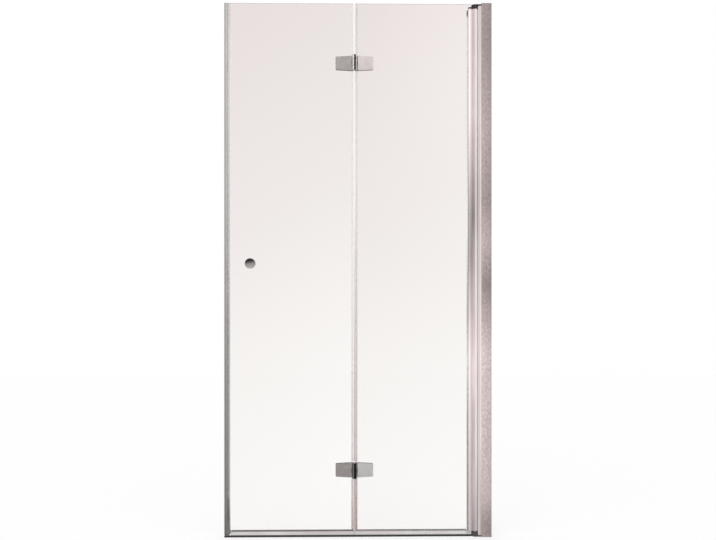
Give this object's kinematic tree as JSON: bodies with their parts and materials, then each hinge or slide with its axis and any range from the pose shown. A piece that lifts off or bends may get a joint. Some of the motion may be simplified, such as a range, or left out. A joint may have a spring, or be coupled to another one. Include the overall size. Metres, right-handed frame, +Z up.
{
  "type": "bifold shower door",
  "caption": "Bifold shower door of hinged frameless glass leaves that turn on a wall channel and fold inwards, with a pull knob, bottom rails, edge seals and threshold.",
  "frame": {"origin": "middle of the door at tray level, in the plane through the middle of the glass", "axes": "+X towards the wall that carries the channel, +Y into the shower, +Z up; the room and the outer knob are at -Y"},
  "size_m": [0.95, 0.0495, 1.9],
  "materials": {
    "aluminium": "brushed anodised profile",
    "hinge_metal": "satin chrome on the hinge wings and knobs",
    "steel": "plain stainless pins and screws",
    "glass": "clear toughened glass",
    "black_plastic": "moulded nylon",
    "white_plastic": "low-friction acetal",
    "clear_plastic": "clear soft PVC",
    "grey_plastic": "grey moulded end caps",
    "rubber": "black EPDM rubber",
    "grey_rubber": "grey EPDM rubber",
    "magnet": "flexible magnet strip"
  },
  "bodies": {
    "wall_frame": {"wall_channel": "aluminium", "channel_cap": "grey_plastic", "expander": "aluminium", "expander_screws": "steel", "screw_covers": "grey_plastic", "top_pivot_block": "black_plastic", "bottom_pivot_block": "black_plastic", "block_screws": "steel", "pivot_bushes": "white_plastic", "thrust_washer": "white_plastic", "threshold": "aluminium", "threshold_seal": "rubber", "threshold_end_cap": "black_plastic"},
    "pivot_leaf": {"pivot_glass": "glass", "carrier_profile": "aluminium", "glazing_gasket": "grey_rubber", "top_plug": "black_plastic", "bottom_plug": "black_plastic", "pivot_pins": "steel", "pivot_meeting_seal": "clear_plastic", "pivot_rail": "aluminium", "pivot_rail_gasket": "grey_rubber", "pivot_rail_wiper": "clear_plastic", "pivot_rail_caps": "grey_plastic", "pivot_glass_sleeves": "clear_plastic", "upper_fixed_wing": "hinge_metal", "lower_fixed_wing": "hinge_metal", "upper_fixed_clamp": "hinge_metal", "lower_fixed_clamp": "hinge_metal", "upper_fixed_pads": "rubber", "lower_fixed_pads": "rubber", "upper_fixed_screws": "steel", "lower_fixed_screws": "steel", "upper_hinge_pin": "steel", "lower_hinge_pin": "steel", "hinge_washers": "white_plastic", "hinge_pin_caps": "steel"},
    "folding_leaf": {"folding_glass": "glass", "folding_meeting_seal": "clear_plastic", "folding_rail": "aluminium", "folding_rail_gasket": "grey_rubber", "folding_rail_wiper": "clear_plastic", "folding_rail_caps": "grey_plastic", "folding_glass_sleeves": "clear_plastic", "magnetic_seal": "clear_plastic", "magnet_strip": "magnet", "magnetic_seal_ends": "grey_plastic", "upper_swing_wing": "hinge_metal", "lower_swing_wing": "hinge_metal", "upper_swing_clamp": "hinge_metal", "lower_swing_clamp": "hinge_metal", "upper_swing_pads": "rubber", "lower_swing_pads": "rubber", "upper_swing_screws": "steel", "lower_swing_screws": "steel", "outer_knob": "hinge_metal", "inner_knob": "hinge_metal", "knob_stud": "steel", "knob_washers": "clear_plastic"}
  },
  "joints": [
    {"name": "wall_pivot", "type": "hinge", "parent": "wall_frame", "child": "pivot_leaf", "pos_m": [0.418, 0, 0.95], "axis": [0, 0, -1], "range_deg": [0, 90]},
    {"name": "leaf_fold", "type": "hinge", "parent": "pivot_leaf", "child": "folding_leaf", "pos_m": [-0.013, -0.014, 0.95], "axis": [0, 0, 1], "range_deg": [0, 178]}
  ]
}
